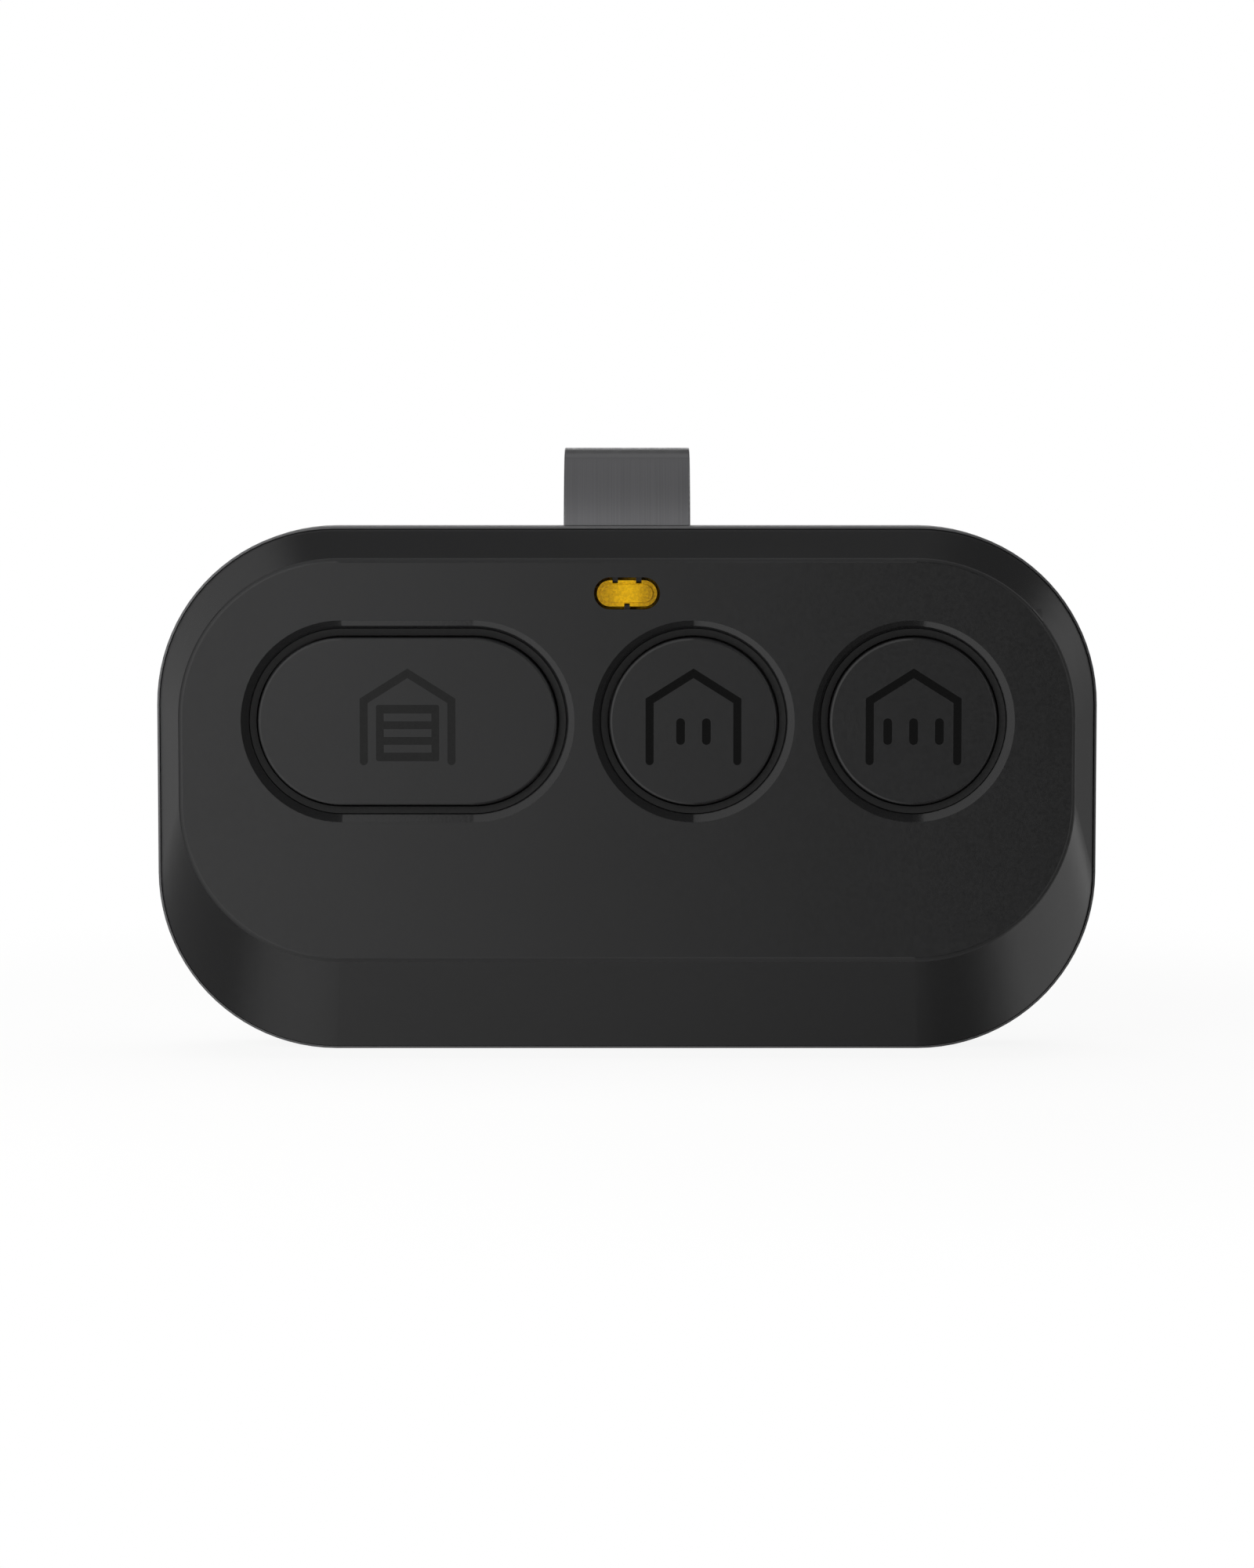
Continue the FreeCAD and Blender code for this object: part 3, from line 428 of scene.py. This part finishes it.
cell_low, cell_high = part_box("coin_cell")
cell_middle = (cell_low + cell_high) / 2
turned_ring = 0.25 * MM
turned_height = 0.004 * MM

turned_stainless, tree, place = new_material("turned_stainless_steel")
rings = add(tree, "TexNoise", {
    "W": off_axis(tree, place, cell_middle), "Scale": 1 / turned_ring, "Detail": 2.0,
}, noise_dimensions="1D")
tone = add(tree, "Mix", {
    "Factor": rings.outputs["Fac"], "A": linear("#a5a6a8"), "B": linear("#c3c4c5"),
}, data_type="RGBA")
sheen = add(tree, "MapRange", {"Value": rings.outputs["Fac"], "To Min": 0.18, "To Max": 0.36})
relief = add(tree, "Bump", {
    "Height": rings.outputs["Fac"], "Strength": 0.5, "Distance": turned_height,
})
finish(
    tree, Base_Color=tone.outputs["Result"], Metallic=1.0, Roughness=sheen.outputs["Result"],
    Normal=relief.outputs["Normal"],
)
dress(turned_stainless, "coin_cell")


# Rear housing. The same ABS as the front, with a coarser texture on its back, which is drawn larger
# than real so that it shows. Its shallow label field is smooth, and the thin lip round the front
# housing is painted a little paler, a painted highlight along its rounded edge.

coarse_grain = 0.45 * MM
coarse_height = 0.04 * MM
label_right = -8.5 * MM
label_left = -34.5 * MM
label_depth = 0.2 * MM
label_slack = 0.05 * MM
label_roughness = 0.2
lip_y = -2.38 * MM
lip_reach = 0.2 * MM
lip_roughness = 0.4
lip_highlight_colour = "#4c4c4d"
back_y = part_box("battery_cover")[1].y

rear_abs, tree, place, look = moulded(
    "black_abs_coarse_texture", dark="#131313", pale="#191919", grain_size=coarse_grain,
    smoothest=0.3, roughest=0.42, height=coarse_height,
)
spot = add(tree, "SeparateXYZ", {"Vector": place})
field = add(tree, "Math", {
    0: spot.outputs["X"], 1: (label_left + label_right) / 2, 2: (label_right - label_left) / 2,
}, operation="COMPARE")
sunk = add(tree, "Math", {
    0: spot.outputs["Y"], 1: back_y - label_depth, 2: label_slack,
}, operation="COMPARE")
label = add(tree, "Math", {0: field.outputs[0], 1: sunk.outputs[0]}, operation="MULTIPLY")
lip = add(tree, "Math", {0: spot.outputs["Y"], 1: lip_y + lip_reach}, operation="LESS_THAN")
for area, roughness in ((label, label_roughness), (lip, lip_roughness)):
    look["Roughness"] = add(tree, "Mix", {
        "Factor": area.outputs[0], "A": look["Roughness"], "B": roughness,
    }).outputs["Result"]
# Painted highlight: the lip's colour is paler than the shell, for the light its rounded edge
# catches.
look["Base_Color"] = add(tree, "Mix", {
    "Factor": lip.outputs[0], "A": look["Base_Color"], "B": linear(lip_highlight_colour),
}, data_type="RGBA").outputs["Result"]
finish(tree, **look)
dress(rear_abs, "rear_housing")


# Battery cover. A bayonet disc of the same ABS that a coin turns by its slot to open the cell's
# well. Its tool is turned, so faint rings run round the slot, drawn coarser than real so that they
# show.

cover_low, cover_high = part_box("battery_cover")
cover_middle = (cover_low + cover_high) / 2
cover_grain = 0.3 * MM
cover_ring = 0.5 * MM
ring_height = 0.006 * MM

cover_abs, tree, place, look = moulded(
    "black_abs_ringed", dark="#121212", pale="#181818", grain_size=cover_grain,
    smoothest=0.28, roughest=0.36, height=0.01 * MM,
)
turns = add(tree, "Math", {
    0: off_axis(tree, place, cover_middle), 1: 2 * math.pi / cover_ring,
}, operation="MULTIPLY")
rings = add(tree, "Math", {0: turns.outputs[0]}, operation="SINE")
look["Normal"] = add(tree, "Bump", {
    "Height": rings.outputs[0], "Strength": 0.4, "Distance": ring_height,
    "Normal": look["Normal"],
}).outputs["Normal"]
finish(tree, **look)
dress(cover_abs, "battery_cover")


# Turn arrows. Two low arrows moulded with the cover, above and below its slot, that point the way
# it turns to open. Each is a ribbon with softened edges that runs into a slightly higher head, and
# the tool is polished there, so that they stand out from the dull rings.

def made_from(shape, name, material):
    """A piece with the mesh of this bmesh and one material."""
    mesh = bpy.data.meshes.new(name)
    shape.to_mesh(mesh)
    shape.free()
    mesh.materials.append(material)
    piece = bpy.data.objects.new(name, mesh)
    bpy.context.scene.collection.objects.link(piece)
    return piece


arrow_radius = 9.0 * MM
arrow_width = 0.8 * MM
arrow_height = 0.18 * MM
arrow_root = 0.05 * MM
arrow_sweep = math.radians(54)
arrow_softening = 0.06 * MM
head_radius = 1.35 * MM
head_rise = 0.04 * MM
sharp_angle = 1.0
top_start = -arrow_sweep / 2 - math.pi / 2
bottom_start = math.pi / 2 - arrow_sweep / 2

polished_abs, tree, _, look = moulded(
    "black_abs_polished", dark="#121212", pale="#181818", grain_size=cover_grain,
    smoothest=0.1, roughest=0.14, height=0.002 * MM,
)
finish(tree, **look)

arrows = bmesh.new()
for start in (top_start, bottom_start):
    head = bmesh.ops.create_circle(
        arrows, cap_ends=True, radius=head_radius, segments=3
    )["verts"]
    raised = bmesh.ops.extrude_face_region(arrows, geom=head[0].link_faces[:])["geom"]
    raised = [part for part in raised if isinstance(part, bmesh.types.BMVert)]
    bmesh.ops.translate(arrows, vec=(0, 0, arrow_height + arrow_root + head_rise), verts=raised)
    head += raised
    bmesh.ops.rotate(arrows, matrix=Matrix.Rotation(-math.pi / 2, 3, "X"), verts=head)
    bmesh.ops.translate(arrows, vec=(arrow_radius, cover_high.y - arrow_root, 0), verts=head)
    bmesh.ops.rotate(arrows, matrix=Matrix.Rotation(start + arrow_sweep, 3, "Y"), verts=head)

    ribbon = bmesh.ops.create_grid(arrows, x_segments=1, y_segments=1, size=0.5)["verts"]
    bmesh.ops.scale(arrows, vec=(arrow_width, arrow_height + arrow_root, 1), verts=ribbon)
    bmesh.ops.translate(
        arrows, vec=(arrow_radius, cover_high.y + (arrow_height - arrow_root) / 2, 0),
        verts=ribbon,
    )
    bmesh.ops.rotate(arrows, matrix=Matrix.Rotation(start, 3, "Y"), verts=ribbon)
    bmesh.ops.spin(
        arrows, geom=ribbon + ribbon[0].link_faces[:], axis=(0, 1, 0), angle=arrow_sweep,
        steps=20,
    )

bmesh.ops.recalc_face_normals(arrows, faces=arrows.faces)
upper = [
    edge for edge in arrows.edges
    if min(corner.co.y for corner in edge.verts) > cover_high.y
    and edge.calc_face_angle(0) > sharp_angle
]
bmesh.ops.bevel(
    arrows, geom=upper, offset=arrow_softening, segments=2, profile=0.5, affect="EDGES",
    material=-1,
)
bmesh.ops.translate(arrows, vec=(cover_middle.x, 0, cover_middle.z), verts=arrows.verts)
cover_arrows = made_from(arrows, "cover_arrows", polished_abs)
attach(cover_arrows, "battery_cover")


# Cover seal. A moulded rubber ring in the groove of the cover's flange that keeps dust out.
# Rubber takes the dull surface of its tool and shows hardly any highlight.

seal_rubber, tree, _, look = moulded(
    "black_moulded_rubber", dark="#0f0f0f", pale="#161616", grain_size=0.2 * MM,
    smoothest=0.6, roughest=0.75, height=0.01 * MM,
)
finish(tree, **look)
dress(seal_rubber, "cover_seal")


# Screws. Cross recess pan heads of zinc plated steel with a black passivation, turned and rolled.
# Four join the two housings from the back, and two small ones hold the board to its posts.

black_zinc = plated(
    "black_passivated_zinc", dark="#2c2c2d", pale="#454546", grain=(0.5 * MM, 0.5 * MM, 0.5 * MM),
    smoothest=0.3, roughest=0.45, height=0.01 * MM,
)
dress(black_zinc, "housing_screws", "board_screws")


# Visor clip. One strip of spring steel, brushed along its length, hardened and bent to a loop that
# slides in two rails on the back. Its crest is painted brighter, a painted highlight where the bend
# catches the light, and the brushed lines are drawn coarser than real so that they show.

brush_line = 0.12 * MM
brush_run = 25 * MM
crest_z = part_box("visor_clip")[1].z
crest_reach = 0.9 * MM
crest_highlight_colour = "#cfcfd1"

brushed_steel = plated(
    "brushed_spring_steel", dark="#6d6d6f", pale="#89898b",
    grain=(brush_line, brush_run, brush_run), smoothest=0.3, roughest=0.45, height=0.006 * MM,
    Anisotropic=0.5,
)
tree = brushed_steel.node_tree
shader = tree.nodes["Principled BSDF"]
lines = add(tree, "CombineXYZ", {"X": 1.0})
tree.links.new(lines.outputs[0], shader.inputs["Tangent"])
spot = add(tree, "SeparateXYZ", {"Vector": tree.nodes["Texture Coordinate"].outputs["Object"]})
# Painted highlight: the top of the loop is mixed toward a pale colour, where the bend catches
# light.
crest = add(tree, "MapRange", {
    "Value": spot.outputs["Z"], "From Min": crest_z - crest_reach, "From Max": crest_z,
})
painted_crest_highlight = add(tree, "Mix", {
    "Factor": crest.outputs["Result"], "A": shader.inputs["Base Color"].links[0].from_socket,
    "B": linear(crest_highlight_colour),
}, data_type="RGBA")
tree.links.new(painted_crest_highlight.outputs["Result"], shader.inputs["Base Color"])
dress(brushed_steel, "visor_clip")


# Camera. It looks at the front from 400 mm away and slightly above, square to the object, as in
# the photograph, and the object fills three quarters of the frame's width.

lens_mm = 103.9
camera_distance = 400 * MM
camera_rise = math.radians(4.7)
aim = Vector((0, -2.43 * MM, 23.56 * MM))

camera = bpy.data.objects.new("camera", bpy.data.cameras.new("camera"))
bpy.context.scene.collection.objects.link(camera)
camera.data.lens = lens_mm
camera.data.clip_start = 10 * MM
back = Vector((0, -math.cos(camera_rise), math.sin(camera_rise)))
camera.location = aim + back * camera_distance
camera.rotation_euler = back.to_track_quat("Z", "Y").to_euler()
bpy.context.scene.camera = camera
bpy.context.scene.view_settings.view_transform = "Standard"


# Floor. A plain pale card under the object that takes its shadow. The camera sees it nearly white
# round the object and pure white further off, so that it runs into the backdrop with no edge.

def rays(tree, *kinds):
    """1 for rays of these kinds, and 0 for all others."""
    path = add(tree, "LightPath")
    seen = path.outputs[kinds[0]]
    for kind in kinds[1:]:
        seen = add(tree, "Math", {0: seen, 1: path.outputs[kind]}, operation="MAXIMUM").outputs[0]
    return seen


floor_radius = 2.0
floor_drop = 0.02 * MM
card_colour = "#e6e6e4"
white = "#ffffff"
shadow_radius = 50 * MM
white_radius = 120 * MM
shadow_white = 0.9

pale_floor, tree, place = new_material("pale_card_floor")
seen = rays(tree, "Is Camera Ray", "Is Transmission Ray", "Is Glossy Ray")
card = add(tree, "BsdfDiffuse", {"Color": linear(card_colour)})
glow = add(tree, "Emission", {"Color": linear(white), "Strength": 1.0})
away = add(tree, "VectorMath", {0: place}, operation="LENGTH")
fade = add(tree, "MapRange", {
    "Value": away.outputs["Value"], "From Min": shadow_radius, "From Max": white_radius,
    "To Min": shadow_white, "To Max": 1.0,
}, interpolation_type="SMOOTHSTEP")
bright = add(tree, "MixShader", {0: fade.outputs[0], 1: card.outputs[0], 2: glow.outputs[0]})
surface = add(tree, "MixShader", {0: seen, 1: card.outputs[0], 2: bright.outputs[0]})
add(tree, "OutputMaterial", {"Surface": surface.outputs[0]})

shape = bmesh.new()
bmesh.ops.create_circle(shape, cap_ends=True, radius=floor_radius, segments=96)
floor = made_from(shape, "floor", pale_floor)
floor.location.z = -floor_drop
floor.visible_glossy = False


# Backdrop. A white card that stands behind the object. It is what the rounded upper edges and the
# steel mirror behind them, and the camera sees it as white as the floor's far part.

backdrop_width = 400 * MM
backdrop_height = 500 * MM
backdrop_y = 700 * MM
backdrop_middle_z = 50 * MM

white_card, tree, _ = new_material("white_card")
seen = rays(tree, "Is Camera Ray", "Is Transmission Ray", "Is Glossy Ray")
card = add(tree, "BsdfDiffuse", {"Color": linear(card_colour)})
glow = add(tree, "Emission", {"Color": linear(white), "Strength": 1.0})
surface = add(tree, "MixShader", {0: seen, 1: card.outputs[0], 2: glow.outputs[0]})
add(tree, "OutputMaterial", {"Surface": surface.outputs[0]})

shape = bmesh.new()
bmesh.ops.create_grid(shape, x_segments=1, y_segments=1, size=0.5)
bmesh.ops.scale(shape, vec=(backdrop_width, backdrop_height, 1), verts=shape.verts)
bmesh.ops.rotate(shape, matrix=Matrix.Rotation(math.pi / 2, 3, "X"), verts=shape.verts)
bmesh.ops.translate(shape, vec=(0, backdrop_y, backdrop_middle_z), verts=shape.verts)
backdrop = made_from(shape, "backdrop", white_card)


# World. The room as the glossy surfaces mirror it: a bright wall in front on the left, a dark one
# on the right, walls at the sides and behind, and the panels and floor that fade in over them.
# The camera and clear pieces see plain white, and dull surfaces get one low even light.

front_left = 1.36
front_left_low = 0.97
front_left_high = 0.86
front_right = 0.0
far_right = 0.13
side_left = 0.19
rear_left = 0.22
side_right = 0.79
rear_bright_right = 0.56
rear_right = 0.08
rear_top = 0.052
overhead = 0.45
floor_left = 0.6
floor_right = 0.19
corner_right = 0.55
panel_right = 0.8
rear_wall = 0.9
ambient_level = 0.1

world = bpy.data.worlds.new("studio")
bpy.context.scene.world = world
world.use_nodes = True
tree = world.node_tree
tree.nodes.clear()
toward = add(tree, "SeparateXYZ", {"Vector": add(tree, "TexCoord").outputs["Generated"]})
x, y, z = [toward.outputs[axis] for axis in "XYZ"]


def graded(first, second, value, start, end):
    """A level that goes from the first to the second while a value goes from start to end."""
    share = add(tree, "MapRange", {"Value": value, "From Min": start, "From Max": end})
    mixed = add(tree, "Mix", {"Factor": share.outputs[0], "A": first, "B": second})
    return mixed.outputs[0]


left = graded(front_left_low, front_left_high, z, -0.9, 0.9)
left = graded(front_left, left, y, -0.92, -0.7)
left = graded(left, side_left, y, -0.13, -0.04)
left = graded(left, rear_left, y, 0.05, 0.9)

right = graded(front_right, far_right, y, -0.92, -0.7)
right = graded(right, side_right, y, -0.14, 0.02)
right = graded(right, rear_bright_right, y, 0.15, 0.65)
right = graded(right, rear_right, y, 0.7, 0.87)

room = graded(left, right, x, -0.045, -0.015)
below = graded(floor_left, floor_right, x, -0.12, 0.14)

# Each panel's level, and its edges: a direction's coordinate, where the panel starts to show, and
# where it is full.
for level, edges in (
    (panel_right, ((x, 0.3, 0.45), (y, -0.5, -0.62))),
    (rear_wall, ((x, -0.34, -0.22), (x, 0.34, 0.22), (y, 0.3, 0.6), (z, 0.2, 0.05))),
    (rear_wall, ((x, -0.6, -0.45), (x, 0.6, 0.45), (y, 0.3, 0.6), (z, -0.12, -0.25))),
    (rear_top, (
        (x, -0.36, -0.17), (x, 0.49, 0.36), (y, -0.1, 0.05), (z, 0.05, 0.2), (z, 0.8, 0.62),
    )),
    (rear_top, ((x, 0.1, 0.3), (x, 0.62, 0.5), (y, 0.5, 0.7), (z, 0.12, 0.4))),
    (corner_right, ((x, 0.55, 0.68), (y, 0.4, 0.55), (z, 0.02, -0.05))),
    (overhead, ((y, -0.2, -0.05), (z, 0.65, 0.85))),
    (below, ((y, -0.29, -0.19), (z, -0.76, -0.96))),
):
    inside = 1.0
    for value, start, end in edges:
        edge = add(tree, "MapRange", {
            "Value": value, "From Min": start, "From Max": end,
        }, interpolation_type="SMOOTHSTEP")
        inside = add(tree, "Math", {
            0: inside, 1: edge.outputs[0],
        }, operation="MULTIPLY").outputs[0]
    room = add(tree, "Mix", {"Factor": inside, "A": room, "B": level}).outputs[0]

mirrored = rays(tree, "Is Glossy Ray")
seen = rays(tree, "Is Camera Ray", "Is Transmission Ray")
level = add(tree, "Mix", {"Factor": mirrored, "A": ambient_level, "B": room})
level = add(tree, "Mix", {"Factor": seen, "A": level.outputs[0], "B": 1.0})
sky = add(tree, "Background", {"Color": linear(white), "Strength": level.outputs[0]})
add(tree, "OutputWorld", {"Surface": sky.outputs[0]})


# Lamps. Two softboxes light the dull share of every surface, one from the front left and one from
# above. They show in no reflection, because the world holds what the glossy surfaces mirror.

left_power = 0.84
top_power = 2.0

for name, stand, width, height, power in (
    ("left_softbox", (-0.17, -0.19, 0.08), 0.2, 0.3, left_power),
    ("top_softbox", (0, 0.05, 0.5), 0.5, 0.4, top_power),
):
    lamp = bpy.data.lights.new(name, "AREA")
    lamp.shape = "RECTANGLE"
    lamp.size, lamp.size_y, lamp.energy = width, height, power
    softbox = bpy.data.objects.new(name, lamp)
    softbox.location = stand
    softbox.rotation_euler = (Vector(stand) - aim).to_track_quat("Z", "Y").to_euler()
    softbox.visible_glossy = False
    softbox.visible_camera = False
    bpy.context.scene.collection.objects.link(softbox)
